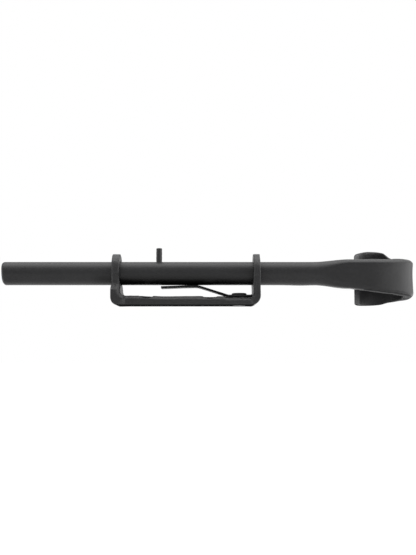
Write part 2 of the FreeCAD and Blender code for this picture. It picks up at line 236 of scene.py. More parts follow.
print("floor at", round(STRAP_LOW.z - FLOOR_DROP, 4))


# %% Lamps
def add_lamp(name, place, target, size, power):
    """A soft rectangular lamp that faces its target."""
    data = bpy.data.lights.new(name, "AREA")
    data.shape = "RECTANGLE"
    data.size, data.size_y = size
    data.energy = power
    lamp = put_in_scene(name, data)
    lamp.location = place
    lamp.rotation_euler = (Vector(target) - Vector(place)).to_track_quat("-Z", "Y").to_euler()
    print(name, "radiance", round(power / math.pi / size[0] / size[1], 2))


add_lamp("overhead", (0.12, 0.02, 0.50), (0.12, 0.0, 0.02), (1.14, 0.5), 5.5)
add_lamp("right", (0.60, -0.13, 0.06), (0.08, 0.0, 0.02), (1.0, 0.6), 4.1)
add_lamp("high_left", (-0.25, -0.45, 0.42), (0.0, 0.0, 0.02), (0.5, 0.35), 0.27)
add_lamp("left", (-0.64, -0.08, 0.06), (0.0, 0.0, 0.02), (0.8, 0.6), 2.2)

# %% [markdown]
# ## The black coat
# Iron is forged, cleaned and given a thin satin black coat. The coat evens out the colour but not
# the shape, so the finish is mostly roughness and bump: fine grain in the coat, wider pits where
# scale came off, and edges that handling has rubbed a little brighter and smoother. A picture of
# the real surface could be wrapped on, but noise in the piece's own coordinates has no seams and
# no grain size of its own, so one recipe serves every piece with other numbers. A mask in the same
# coordinates paints shade on the bolt below its axis over the strap, where the base keeps the light
# from below off it.

# %% A recipe for coated iron
BLACK = ((0.0076, 0.0076, 0.0080), (0.0126, 0.0126, 0.0133))
# Painted shade on the bolt below its axis: it starts at the first height and is full at the second.
PAINTED_SHADE_STARTS, PAINTED_SHADE_FULL = AXIS_HEIGHT + 0.5 * MM, AXIS_HEIGHT - 3.0 * MM  # heights on the bolt


def coated_iron(name, roughness, grain, pits, specular=0.25, blacks=BLACK, drawn=0.0, way=None,
                line_size=0.5, painted_shade=None):
    """A satin coat between two blacks. Grain and pits are depths in millimetres. Drawn is the
    depth of the lines that a piece keeps where it was rolled or drawn out. They run along X, or
    along the first number of the attribute that way names. Painted shade is four X positions: below
    the axis the piece is painted dark as shade between the middle two, fading out towards the outer
    two."""
    finish = bpy.data.materials.new(name)
    finish.use_nodes = True
    tree = finish.node_tree
    shader = tree.nodes["Principled BSDF"]
    shader.inputs["Specular IOR Level"].default_value = specular
    place = add_node(tree, "ShaderNodeTexCoord").outputs["Object"]
    # The fourth black, far darker, is painted shade for the bolt below its axis over the strap.
    dark, light, bright, shaded_black = (
        (*(times * v for v in black), 1.0)
        for black, times in zip((*blacks, *reversed(blacks)), (1, 1, 2.2, 0.15)))

    def noise(size, detail=3.0, stretch=(1.0, 1.0, 1.0), start=place):
        """Noise whose lumps are about that many millimetres across."""
        mapped = add_node(tree, "ShaderNodeMapping", Vector=start, Scale=stretch)
        return add_node(tree, "ShaderNodeTexNoise", Vector=mapped, Scale=1.0 / (size * MM),
                        Detail=detail).outputs["Fac"]

    # Colour: broad clouds and a finer mottle between two blacks, then rubbed edges and painted
    # shade.
    clouds, mottle = noise(22.0), noise(1.6)
    share = work_out(tree, "MULTIPLY_ADD", mottle, 0.5, times(tree, clouds, 0.5))
    cloudy = ramp(tree, share, 0.35, 0.65)
    colour = blend(tree, cloudy, dark, light)
    sharpness = add_node(tree, "ShaderNodeNewGeometry").outputs["Pointiness"]
    rubbed = times(tree, ramp(tree, sharpness, 0.53, 0.62), cloudy)
    colour = blend(tree, times(tree, rubbed, 0.6), colour, bright)
    # Painted shade: the bolt is darkened below its axis over the strap, where the base keeps the
    # light from below off it.
    if painted_shade:
        axes = add_node(tree, "ShaderNodeSeparateXYZ", Vector=place)
        starts, full, still_full, ends = painted_shade
        in_shade = [ramp(tree, axes.outputs[axis], low, high, kind="SMOOTHSTEP") for axis, low, high in (
            ("X", starts, full), ("X", ends, still_full), ("Z", PAINTED_SHADE_STARTS, PAINTED_SHADE_FULL))]
        colour = blend(tree, times(tree, *in_shade), colour, shaded_black)
    join(tree, colour, shader.inputs["Base Color"])

    # Roughness: clouds again, a little smoother where it is rubbed.
    rough = work_out(tree, "MULTIPLY_ADD", share, 0.16, roughness - 0.08)
    rough = work_out(tree, "MULTIPLY_ADD", rubbed, -0.08, rough)
    join(tree, rough, shader.inputs["Roughness"])

    # Bump: grain of the coat, pits of the forged skin and drawn lines.
    height = times(tree, noise(0.45, detail=2.0), grain)
    height = work_out(tree, "MULTIPLY_ADD", ramp(tree, noise(2.6), 0.30, 0.46), pits, height)
    if drawn:
        start = place
        if way:
            start = add_node(tree, "ShaderNodeAttribute", attribute_name=way).outputs["Vector"]
        lines = noise(line_size, stretch=(0.05, 1.0, 1.0), start=start)
        height = work_out(tree, "MULTIPLY_ADD", lines, drawn, height)
    bump = add_node(tree, "ShaderNodeBump", Strength=1.0, Distance=MM, Height=height)
    join(tree, bump, shader.inputs["Normal"])
    return finish


# %% The finishes
BLUE_BLACK = ((0.0030, 0.0030, 0.0033), (0.0060, 0.0060, 0.0066))
# X positions where the painted shade on the rod's lower half fades in, is full, and fades out.
PAINTED_SHADE_SPAN = (-52 * MM, -44 * MM, 8 * MM, 46 * MM)
ROD_FINISH = coated_iron("forged_rod", 0.42, 0.010, 0.008, specular=0.225, painted_shade=PAINTED_SHADE_SPAN)
# A duller copy of the coat: painted shade inside the loop.
INSIDE_SHADE_FINISH = coated_iron("forged_rod_inside", 0.46, 0.010, 0.008, specular=0.14)
# A glossier copy of the coat: painted light on the end of the tip.
TIP_LIGHT_FINISH = coated_iron("forged_rod_tip", 0.40, 0.010, 0.008, specular=0.38)
# A duller, rougher copy of the coat: painted shade on the loop's underside.
UNDER_SHADE_FINISH = coated_iron("forged_rod_under", 0.60, 0.010, 0.008, specular=0.10)
STRAP_FINISH = coated_iron(
    "forged_strap", 0.43, 0.014, 0.020, drawn=0.30, way="strap_way", line_size=1.3)
# A matt copy without gloss: painted shade on the lowest faces of the bolt and the strap.
BACK_SHADE_FINISH = coated_iron("iron_back", 0.90, 0.020, 0.020, specular=0.0)
SPRING_FINISH = coated_iron(
    "spring_steel", 0.50, 0.006, 0.0, specular=0.08, blacks=BLUE_BLACK, drawn=0.010)
# A lighter, glossier copy for the leaf's foot: painted light that lifts it out of the rivet head's
# shade.
FOOT_LIGHT_FINISH = coated_iron("spring_foot", 0.45, 0.006, 0.0, specular=0.2)
PIN_FINISH = coated_iron("pin_steel", 0.40, 0.008, 0.0)
RIVET_FINISH = coated_iron("rivet_iron", 0.42, 0.010, 0.010)
print("finishes", [m.name for m in bpy.data.materials])

# %% [markdown]
# ## Swept bars
# Both the bolt and its bracket start as one bar that the smith bends and hammers, so both can be
# drawn the same way: as a row of rounded sections along the bar, each a little different from the
# one before it. Curve objects can sweep only one section, and a subdivision cage would need its
# corners tuned by hand, so the mesh is written directly. Every section has the same number of
# points, evenly spaced round it, and neighbours are joined with quads.

# %% Rounded sections
def mix(first, last, share):
    """The value that lies that share of the way from first to last."""
    return first + (last - first) * share


def ways_along(points):
    """How far each point lies along the line through them all."""
    steps = np.linalg.norm(np.diff(points, axis=0), axis=1)
    return np.concatenate([[0.0], np.cumsum(steps)])


def rounded_section(low, high, bottom, top, radii, count, bevel=0.0):
    """Points round a rectangle with rounded corners, evenly spaced, from the middle of its low
    side upwards. The radii are those of the corners low-top, high-top, high-bottom, low-bottom,
    and a pair of them, across and upright, makes an oval corner. Bevel 1 makes the corners flat,
    and values between flatten them."""
    corners = ((low, top, 180, 90), (high, top, 90, 0),
               (high, bottom, 0, -90), (low, bottom, -90, -180))
    points = [(low, 0.0)]
    for (x, y, start, end), radius in zip(corners, radii):
        across, upright = radius if isinstance(radius, tuple) else (radius, radius)
        centre_x = x + across if x == low else x - across
        centre_y = y - upright if y == top else y + upright
        arc = [np.array((centre_x + across * math.cos(a), centre_y + upright * math.sin(a)))
               for a in np.radians(np.linspace(start, end, 17))]
        points += [mix(point, mix(arc[0], arc[-1], k / 16), bevel) for k, point in enumerate(arc)]
    points = np.array([*points, (low, 0.0)])
    ways = ways_along(points)
    places = np.linspace(0.0, ways[-1], count, endpoint=False)
    return np.stack([np.interp(places, ways, points[:, k]) for k in (0, 1)], axis=1)


def closed_skin(name, rings, ends):
    """A closed piece through rings of points, with a fan round an end point at either end."""
    count = len(rings[0])
    points = np.concatenate([*rings, ends])
    after = [(k + 1) % count for k in range(count)]
    last_ring = (len(rings) - 1) * count
    faces = [(a + k, a + after[k], a + count + after[k], a + count + k)
             for a in range(0, last_ring, count) for k in range(count)]
    faces += [(len(points) - 2, after[k], k) for k in range(count)]
    faces += [(len(points) - 1, last_ring + k, last_ring + after[k]) for k in range(count)]
    mesh = bpy.data.meshes.new(name)
    mesh.from_pydata(points.tolist(), [], faces)
    return face_outwards(put_in_scene(name, mesh))


def face_outwards(piece):
    """Merges doubles and turns every face outwards."""
    work = bmesh.new()
    work.from_mesh(piece.data)
    bmesh.ops.remove_doubles(work, verts=work.verts, dist=1e-7)
    bmesh.ops.recalc_face_normals(work, faces=work.faces)
    open_edges = sum(1 for edge in work.edges if not edge.is_manifold)
    volume = work.calc_volume(signed=True)
    work.to_mesh(piece.data)
    work.free()
    piece.data.shade_smooth()
    print(piece.name, len(piece.data.polygons), "faces", open_edges, "open edges",
          round(volume * 1e9), "mm3")
    return piece


def swept(name, rings):
    """A bar whose skin runs through those rings."""
    return closed_skin(name, rings, [rings[0].mean(axis=0), rings[-1].mean(axis=0)])


# %% Soft steps and curves
def ease(share):
    """Smooth step from 0 to 1."""
    share = np.clip(share, 0.0, 1.0)
    return share * share * (3.0 - 2.0 * share)


def hump(value, start, rise, end, fall):
    """0 up to start, 1 in the middle and 0 from end on, with soft steps of those lengths."""
    return ease((value - start) / rise) * ease((end - value) / fall)


def curve_through(place, places, values):
    """A smooth curve through the values at the places, with the mean of its neighbours' slopes
    at each of them, and level beyond the ends."""
    runs = np.diff(values) / np.diff(places)
    slopes = np.concatenate([[0.0], (runs[1:] + runs[:-1]) / 2, [0.0]])
    place = float(np.clip(place, places[0], places[-1]))
    k = int(min(np.searchsorted(places, place, side="right") - 1, len(places) - 2))
    span = places[k + 1] - places[k]
    t = (place - places[k]) / span
    return (values[k] * (1 + 2 * t) * (1 - t) ** 2 + slopes[k] * span * t * (1 - t) ** 2
            + values[k + 1] * t * t * (3 - 2 * t) + slopes[k + 1] * span * t * t * (t - 1))


print("a soft step at a quarter of its way:", ease(0.25))

# %% [markdown]
# ## The bolt
# The bar is 12.7 mm round, and its nose is rounded by hand, more below than above. Past the strap
# the smith draws it out flat, tall and thin, bends it round the horn of the anvil through three
# quarters of a turn and spreads its tip. A turned rod could be joined to a bent plate, but the
# joint would show. So the whole bolt is one row of sections. Each is given by its thickness, its
# rise above the axis, its drop below it and the softness of its corners.

# %% The nose and the round bar
ROUND_COUNT = 112
NECK_START = 66.0 * MM


def nose_rings():
    """Rings over the nose: a low dome, then an edge that is rounder below than above."""
    turn = np.arange(ROUND_COUNT) / ROUND_COUNT * 2 * math.pi
    up = np.sin(turn)
    side = -np.cos(turn)

    def round_the_bar(sides, top, bottom):
        """A size that changes round the bar, given in millimetres."""
        return np.where(up > 0, mix(sides, top, up), mix(sides, bottom, -up)) * MM

    dome = round_the_bar(0.80, 0.30, 0.75)
    tall = round_the_bar(2.2, 1.6, 2.6)
    long = round_the_bar(2.2, 1.9, 2.8)
    sizes = [(dome * share * share, (ROD_RADIUS - tall) * share)
             for share in (0.12, 0.3, 0.5, 0.7, 0.85, 0.95, 1.0)]
    sizes += [(dome + (long - dome) * (1 - math.cos(a)), ROD_RADIUS - tall + tall * math.sin(a))
              for a in np.radians(np.linspace(0, 90, 14))[1:]]
    return [np.stack([ROD_LOW.x + back, side * reach, AXIS_HEIGHT + up * reach], axis=1)
            for back, reach in sizes]


def swell(x):
    """How much fuller the bar's underside is before the neck, where hammering spread it."""
    return 0.035 * math.exp(-((x - 62.0 * MM) / (6.5 * MM)) ** 2)


def ring_at(x, section):
    """A section set across the bar at an X."""
    return np.stack([np.full(len(section), x), section[:, 0], AXIS_HEIGHT + section[:, 1]], axis=1)


def bar_rings():
    """Rings from the nose's edge to the neck."""
    rings = []
    for x in np.arange(ROD_LOW.x + 3.4 * MM, NECK_START, 1.2 * MM):
        section = rounded_section(*(-ROD_RADIUS, ROD_RADIUS) * 2, (ROD_RADIUS,) * 4, ROUND_COUNT)
        section[:, 1] *= np.where(section[:, 1] < 0, 1 + swell(x), 1.0)
        rings.append(ring_at(x, section))
    return rings


print("nose and bar", len(nose_rings()), "and", len(bar_rings()), "rings")

# %% [markdown]
# ### The neck
# The neck is where the round bar goes over into the flat band of the loop. Its front starts to
# turn before its back does, because the thick bar doesn't bend sharply. A loft between two
# sections would be straight-sided, so every section between them gets sizes of its own.

# %% The neck
BAND = 7.0 * MM
LOOP_RADIUS = (ROD_HIGH.y + BAND / 2) / 2
LOOP_CENTRE = Vector((ROD_HIGH.x - LOOP_RADIUS, LOOP_RADIUS - BAND / 2, AXIS_HEIGHT))
NECK_LENGTH = 23.0 * MM
STEP = 0.45 * MM
# The front top corner across and upright, in millimetres, at shares of the curl.
CORNER_SHARES = (0.0, 0.06, 0.20, 0.33, 0.5, 1.0)
CORNER_ACROSS = (5.5, 4.0, 3.6, 3.2, 1.4, 1.4)
CORNER_UPRIGHT = (3.0, 2.8, 2.6, 2.3, 1.4, 1.2)


def early_turn(x):
    """How far the bar's front has turned back at an X along the neck, before the loop starts."""
    return 1.30 * MM * max(0.0, 1 - (LOOP_CENTRE.x - x) / (12.0 * MM)) ** 2.2


def band_corners(width, flat, share):
    """The radii of a section's corners, across and upright, as the bar goes over from round to
    flat. The flat bar's top leans over to the front and is sharp inside the loop's far wall."""
    across, upright = (curve_through(share, CORNER_SHARES, sizes) * MM
                       for sizes in (CORNER_ACROSS, CORNER_UPRIGHT))
    inner_top = mix(1.4 * MM, 1.2 * MM, hump(share, 0.3, 0.15, 0.95, 0.1))
    inner_under = mix(2.4 * MM, 0.25 * MM, ease(share / 0.55))
    outer_under = mix(2.4 * MM, 1.2 * MM, share)
    across, upright, inner_top, inner_under, outer_under = (
        mix(ROD_RADIUS, size, flat)
        for size in (across, upright, inner_top, inner_under, outer_under))
    fit = min(1.0, 0.99 * width / (across + inner_top))
    inner_under, outer_under = (min(size, 0.49 * width) for size in (inner_under, outer_under))
    return [(across * fit, upright), (inner_top * fit, inner_top),
            (inner_under,) * 2, (outer_under,) * 2]


def neck_rings():
    """Rings from the round bar to the start of the curl."""
    rings = []
    length = LOOP_CENTRE.x - NECK_START
    for way in np.arange(0.0, length, STEP):
        x = NECK_START + way
        flat = ease((way / NECK_LENGTH - 0.12) / 0.88)
        grown = max(0.0, (way - NECK_LENGTH) / (length - NECK_LENGTH))
        front = ROD_RADIUS - early_turn(x)
        back = mix(ROD_RADIUS, BAND / 2, flat)
        rise = mix(ROD_RADIUS, mix(7.8, 7.9, grown) * MM, flat)
        drop = mix(ROD_RADIUS, mix(8.35, 11.0, grown) * MM, flat) * (1 + swell(x))
        corners = band_corners(front + back, flat, 0.0)
        section = rounded_section(-front, back, -drop, rise, corners, ROUND_COUNT)
        rings.append(ring_at(x, section))
    return rings


print("neck", len(neck_rings()), "rings, loop centre", [round(v, 4) for v in LOOP_CENTRE])

# %% [markdown]
# ### The loop
# The band gets thinner and taller towards its tip. Its top edge is bevelled over the loop's end,
# which is a little hollow at mid height, and the far wall's top leans inwards. The tip is rounded
# over at all four sides and its end runs at a slant. A Bend modifier could curl a straight band,
# but it would stretch the thick parts, so each section is set on the loop's circle by itself.

# %% The loop
CURL = math.radians(270.0)
TIP_BAND = 2.9 * MM
# The rise over the axis and the drop below it, in millimetres, at shares of the curl.
LOOP_RISE = (
    (0.0, 0.06, 0.20, 0.33, 0.51, 0.553, 0.577, 0.602, 0.626,
     0.65, 0.69, 0.73, 0.78, 0.82, 0.86, 0.93, 1.0),
    (7.9, 8.25, 8.45, 8.6, 9.0, 10.3, 11.1, 12.45, 13.4,
     13.75, 14.08, 14.2, 14.17, 14.1, 13.75, 12.4, 10.5))
LOOP_DROP = (
    (0.0, 0.08, 0.20, 0.33, 0.38, 0.42, 0.50, 0.56, 0.60, 0.65, 0.70, 0.85, 1.0),
    (11.0, 11.6, 12.25, 12.75, 13.3, 13.65, 14.0, 14.5, 14.85, 15.8, 16.3, 16.65, 16.65))
TIP_CORNERS = {"top": 2.6 * MM, "bottom": 0.9 * MM, "outer": 0.5 * MM, "inner": 1.5 * MM}
TIP_SLANT, SLANT_REACH = 1.9 * MM, 3.5 * MM
FAR_LEAN, LEAN_FROM = 0.28, 5.0 * MM
END_HOLLOW, HOLLOW_MIDDLE, HOLLOW_REACH = 0.32 * MM, -1.5 * MM, 8.0 * MM
END_BEVEL = 0.3
FULLER_TO = 0.169  # the share of the curl where the front has come back to the circle
SMALLEST_CORNER = 0.1 * MM


def place_on_loop(turn, section):
    """A section at a turn round the loop. Its low side is on the loop's outer circle."""
    turn = np.broadcast_to(turn, len(section))
    out = np.stack([np.sin(turn), -np.cos(turn)], axis=1)
    flat = np.array(LOOP_CENTRE[:2]) + out * (LOOP_RADIUS - section[:, :1])
    return np.concatenate([flat, AXIS_HEIGHT + section[:, 1:]], axis=1)


def loop_section(share, thickness, to_end):
    """The band's section at a share of the curl, that far from the tip's end."""
    # At the tip each side draws in along a quarter circle of its own.
    inset = {side: radius - math.sqrt(max(0.0, radius**2 - max(0.0, radius - to_end) ** 2))
             for side, radius in TIP_CORNERS.items()}
    rise = curve_through(share, *LOOP_RISE) * MM
    drop = curve_through(share, *LOOP_DROP) * MM
    left = max(1 - inset["inner"] / (1.2 * MM), 0.1)
    corners = [tuple(max(size * left, SMALLEST_CORNER) for size in pair)
               for pair in band_corners(thickness, 1.0, share)]
    fuller = ROD_RADIUS - early_turn(LOOP_CENTRE.x) - BAND / 2
    fuller *= max(0.0, 1 - share / FULLER_TO) ** 2
    section = rounded_section(
        inset["outer"] - fuller, thickness - inset["inner"], inset["bottom"] - drop,
        rise - inset["top"], corners, ROUND_COUNT, END_BEVEL * hump(share, 0.0, 0.06, 0.4, 0.2))
    hollow = END_HOLLOW * hump(share, 0.0, 0.2, 0.55, 0.15)
    shape = np.clip(1 - ((section[:, 1] - HOLLOW_MIDDLE) / HOLLOW_REACH) ** 2, 0.0, 1.0)
    section[:, 0] += hollow * shape * (section[:, 0] < 0.5 * thickness)
    lean = FAR_LEAN * hump(share, 0.38, 0.1, 0.93, 0.08)
    section[:, 0] += lean * np.maximum(section[:, 1] - LEAN_FROM, 0.0)
    return section


def loop_rings():
    """Rings round the curl, closer together where the tip is rounded."""
    middle_reach = LOOP_RADIUS - TIP_BAND / 2
    turns = int(LOOP_RADIUS * CURL / STEP)
    rounded_from = 1 - max(TIP_CORNERS.values()) / middle_reach / CURL
    shares = [k / turns for k in range(turns + 1) if k / turns < rounded_from]
    shares += [mix(rounded_from, 1.0, math.sin(a)) for a in np.radians(np.linspace(0, 90, 15))]
    rings = []
    for share in shares:
        to_end = (1 - share) * CURL * middle_reach
        thickness = mix(BAND, TIP_BAND, share)
        section = loop_section(share, thickness, to_end)
        slant = TIP_SLANT * ease(1 - to_end / SLANT_REACH) / middle_reach
        rings.append(place_on_loop(share * CURL - slant * section[:, 0] / thickness, section))
    return rings


bolt = swept("bolt_skin", nose_rings() + bar_rings() + neck_rings() + loop_rings())
bolt.data.materials.append(ROD_FINISH)

# %% [markdown]
# ## Hammer marks
# A hammer leaves shallow round dents that overlap, so the forged skin is never quite flat. Bump
# alone would leave the edges dead straight, so the dents are real. They could be sculpted, but
# they repeat all over the piece, so a Geometry Nodes tree presses them in. A Voronoi texture
# scatters the blows, and each one lowers the skin to a bowl about its own centre. The dents only
# go inwards, so the piece keeps its size. Where the attribute "worked" is 0 nothing was struck.

# %% A tree that presses hammer marks in
def new_tree(name, sizes):
    """A tree that takes a geometry, those sizes and a finish. Returns it and its inputs."""
    tree = bpy.data.node_groups.new(name, "GeometryNodeTree")
    kinds = [("Geometry", "Geometry"), *((size, "Float") for size in sizes), ("Finish", "Material")]
    for socket, kind in kinds:
        tree.interface.new_socket(socket, in_out="INPUT", socket_type=f"NodeSocket{kind}")
    tree.interface.new_socket("Geometry", in_out="OUTPUT", socket_type="NodeSocketGeometry")
    return tree, add_node(tree, "NodeGroupInput").outputs


def end_tree(tree, made, finish):
    """Ends a tree: what it made becomes real geometry in that finish."""
    real = add_node(tree, "GeometryNodeRealizeInstances", Geometry=made)
    coated = add_node(tree, "GeometryNodeSetMaterial", Geometry=real, Material=finish)
    add_node(tree, "NodeGroupOutput", Geometry=coated)
    return tree


def hammer_tree():
    """Presses overlapping round dents into a piece where it was worked."""
    tree, given = new_tree("hammer_marks", ("Mark Size", "Depth", "Seed"))
    place = add_node(tree, "ShaderNodeVectorMath", operation="ADD")
    join(tree, add_node(tree, "GeometryNodeInputPosition"), place.inputs[0])
    join(tree, given["Seed"], place.inputs[1])
    blows = add_node(
        tree, "ShaderNodeTexVoronoi", feature="SMOOTH_F1", Smoothness=0.55, Randomness=1.0,
        Vector=place, Scale=work_out(tree, "DIVIDE", 1.0, given["Mark Size"]))
    # The bowl is deepest at the middle of a blow and runs out where its neighbours begin.
    reach = work_out(tree, "DIVIDE", blows.outputs["Distance"], 0.75)
    bowl = work_out(tree, "SUBTRACT", 1.0, times(tree, reach, reach), clamp=True)
    worked = add_node(tree, "GeometryNodeInputNamedAttribute", data_type="FLOAT", Name="worked")
    inward = add_node(tree, "ShaderNodeVectorMath", operation="SCALE",
                      Vector=add_node(tree, "GeometryNodeInputNormal"),
                      Scale=times(tree, bowl, given["Depth"], worked, -1.0))
    pressed = add_node(
        tree, "GeometryNodeSetPosition", Geometry=given["Geometry"], Offset=inward)
    return end_tree(tree, pressed, given["Finish"])


def shown_mesh(piece):
    """The mesh that a piece shows through its modifiers."""
    bpy.context.view_layer.update()
    return bpy.data.meshes.new_from_object(
        piece.evaluated_get(bpy.context.evaluated_depsgraph_get()))


def run_tree(piece, tree, **values):
    """Runs a tree on a piece with those inputs and keeps the result as its plain mesh."""
    modifier = piece.modifiers.new(tree.name, "NODES")
    modifier.node_group = tree
    for item in tree.interface.items_tree:
        if item.in_out == "INPUT" and item.name in values:
            modifier[item.identifier] = values[item.name]
    mesh = shown_mesh(piece)
    piece.modifiers.remove(modifier)
    if piece.type == "MESH":
        piece.data = mesh
        return piece
    made = put_in_scene(piece.name + "_mesh", mesh)
    bpy.data.objects.remove(piece)
    return made


def points_of(piece):
    """The places of a piece's points, as rows of X, Y and Z."""
    places = np.empty(3 * len(piece.data.vertices), dtype=np.float32)
    piece.data.vertices.foreach_get("co", places)
    return places.reshape(-1, 3)


def set_worked(piece, amount):
    """Writes the attribute that says how hard each point was worked, from 0 to 1."""
    layer = piece.data.attributes.new("worked", "FLOAT", "POINT")
    layer.data.foreach_set("value", amount(points_of(piece)).astype(np.float32))


HAMMER = hammer_tree()
set_worked(bolt, lambda places: ease((places[:, 0] - NECK_START) / NECK_LENGTH))
run_tree(bolt, HAMMER, **{
    "Mark Size": 8.0 * MM, "Depth": 0.10 * MM, "Seed": 0.3, "Finish": ROD_FINISH})
print("hammered", bolt.name, len(bolt.data.vertices), "points")

# %% [markdown]
# ## Places with a finish of their own
# The coat is copied with other gloss to paint light and shade onto the loop. The end of its tip
# is glossier, as painted light, and its inside, its underside and the lowest edge of the tip are
# duller, as painted shade. A painted mask could say where, but each place is a set of whole faces,
# so those faces take another finish.

# %% The loop's dull and bright places
def coat_faces(piece, finish, is_meant):
    """Gives some faces of a piece a finish of their own."""
    piece.data.materials.append(finish)
    meant = [face for face in piece.data.polygons if is_meant(face)]
    for face in meant:
        face.material_index = len(piece.data.materials) - 1
    print(piece.name, len(meant), "faces in", finish.name)


# Painted shade on the inside of the loop's far wall, below the axis.
coat_faces(bolt, INSIDE_SHADE_FINISH, lambda face: (
    face.center.y > LOOP_CENTRE.y + 3 * MM and face.center.z < AXIS_HEIGHT
    and face.normal.xy.dot((face.center - LOOP_CENTRE).xy.normalized()) < -0.6))
# Painted light on the end of the tip.
coat_faces(bolt, TIP_LIGHT_FINISH, lambda face: (
    face.center.x < LOOP_CENTRE.x - 8 * MM and -1 * MM < face.center.y - LOOP_CENTRE.y < 3.2 * MM
    and face.normal.y < -0.5 and face.normal.z > -0.4))
# Painted shade on the faces of the neck and the loop that look down.
coat_faces(bolt, UNDER_SHADE_FINISH, lambda face: (
    face.normal.z < -0.7 and face.center.x > LOOP_CENTRE.x - 14 * MM))
# Painted shade on the lowest faces of the loop.
coat_faces(bolt, BACK_SHADE_FINISH, lambda face: (
    face.normal.z < -0.4 and face.center.z < AXIS_HEIGHT - 14.8 * MM))
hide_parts("bolt_rod")
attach(bolt, "bolt")

# %% [markdown]
# ## Cutters
# Holes are drilled after the forging. A lathe profile turned about its axis makes every cutter
# here, and later the pin and the rivet too: it is a row of pairs, a radius and a height. Blender's
# Spin tool does the same by hand.

# %% A small lathe
def turned(name, centre, axis, profile, count=72):
    """A closed turned piece. The profile's heights run along the axis from the centre."""
    centre, axis = Vector(centre), Vector(axis)
    side = axis.orthogonal().normalized()
    other = axis.cross(side)
    rings = [np.array([
        centre + axis * height + (side * math.cos(a) + other * math.sin(a)) * radius
        for a in np.arange(count) / count * 2 * math.pi]) for radius, height in profile]
    return closed_skin(name, rings, [centre + axis * profile[end][1] for end in (0, -1)])


SCREWS = MOUNTS["screw_holes"]
BASE_TOP = SPRING_LOW.z
BORE_RADIUS = ROD_RADIUS + 0.3 * MM
SHANK_RADIUS, TAIL_RADIUS, TAIL_HEIGHT = 2.05 * MM, 3.3 * MM, 1.6 * MM
HOLE_RADIUS = SCREWS["dims"]["hole_r_mm"] * MM
SINK_RADIUS = 3.8 * MM
RIVET_X = (RIVET_LOW.x + RIVET_HIGH.x) / 2
print("base top", round(BASE_TOP, 5), "rivet at", round(RIVET_X, 5))

# %% [markdown]
# ## The strap bracket
# One flat strap is bent up at both ends. Its top edges are well rounded and its underside is left
# sharp. At the bends the metal bulges sideways. The rear ear stays as wide as the strap, while the
# front ear is drawn in to a waist under its bore, over a shoulder where it joins the strap. A bent
# box would do for the outline, but every one of these widths and edges changes along the strap,
# so it is another row of rounded sections. The drilled holes are cut out, and a voxel remesh then
# gives the whole skin small even faces for the hammer marks.

# %% Widths and thickness along the strap
FRONT_FACE = STRAP_LOW.x + 4.5 * MM
REAR_FACE = STRAP_HIGH.x - 3.7 * MM
HALF_STRAP = STRAP_HIGH.y
FRONT_HALF = STRAP_HIGH.z - AXIS_HEIGHT
FRONT_BEND, REAR_BEND = 4.2 * MM, 5.1 * MM
FRONT_INNER_BEND, REAR_INNER_BEND = 2.6 * MM, 1.3 * MM
FULL = 0.20 * MM  # what the hammer marks may take off the strap's outside
STRAP_COUNT = 120
# Half the front ear's width at heights over the base's underside, all in millimetres.
EAR_HEIGHTS = (5.0, 6.0, 7.0, 7.8, 8.6, 9.2, 9.8, 10.4,
               11.0, 11.6, 12.2, 12.8, 13.4, 14.5, 16.0, 17.5)
EAR_HALVES = (12.7, 12.66, 12.5, 12.2, 11.7, 11.2, 10.6, 10.0,
              9.45, 9.0, 8.75, 8.6, 8.6, 8.85, 9.6, FRONT_HALF / MM)


def half_round(half, height):
    """Half the width of a half-round top at a height. Below the round there is no limit."""
    above = height - (STRAP_HIGH.z + FULL - half)
    if above <= 0:
        return math.inf
    return math.sqrt(max(half**2 - above**2, (0.25 * MM) ** 2))


def front_half(height):
    """Half the front ear's width: drawn in above its shoulder, and round over the bore."""
    shoulder = curve_through(height / MM, EAR_HEIGHTS, EAR_HALVES) * MM
    return min(shoulder, half_round(FRONT_HALF, height))


def rear_half(height):
    """Half the rear ear's width: as wide as the strap, and round over the bore."""
    return min(HALF_STRAP, half_round(HALF_STRAP - 0.3 * MM, height))


def front_face(height):
    """The front ear's inner face: the wall is a little thicker below the shoulder."""
    return FRONT_FACE + 0.75 * MM * (1 - ease((height / MM - 9.5) / 4.0))


def rear_face(height):
    """The rear ear's inner face: the wall is a little thicker below the bore's middle."""
    return REAR_FACE - 0.30 * MM * (1 - ease((height / MM - 15.0) / 3.0))


def base_half(x):
    """Half the base's width: a little less than the strap's between the bends."""
    front = 1.6 * (1 - ease((x / MM + 36.9) / 4.6))
    rear = 1.5 * (1 - ease((37.2 - x / MM) / 3.4))
    return HALF_STRAP - (1.55 - front - rear) * MM if abs(x) < 38 * MM else HALF_STRAP


def base_top(x):
    """The height of the base's top, which is thicker near the front bend."""
    return BASE_TOP + 0.42 * MM * (1 - ease((x / MM + 25.0) / 12.0))


def pad(x, y):
    """How far the strap's top is dressed down on either side of the spring's foot."""
    return -0.75 * MM * hump(x / MM, 20.6, 1.6, 36.6, 1.2) * ease((np.abs(y) / MM - 4.9) / 0.9)


print("front ear's waist", round(2 * min(EAR_HALVES), 1), "mm, base",
      round(2 * base_half(0.0) / MM, 1), "mm wide")


# %% Stations along the strap
def bend(outer, outer_radius, inner, inner_radius, start, end):
    """Stations round a bend: the outer point, the inner point, the half width."""
    stations = []
    for angle in np.radians(np.linspace(start, end, 15)):
        ray = np.array([math.cos(angle), math.sin(angle)])
        far, near = np.array(outer) + ray * outer_radius, np.array(inner) + ray * inner_radius
        stations.append((far, near, base_half(far[0])))
    return stations


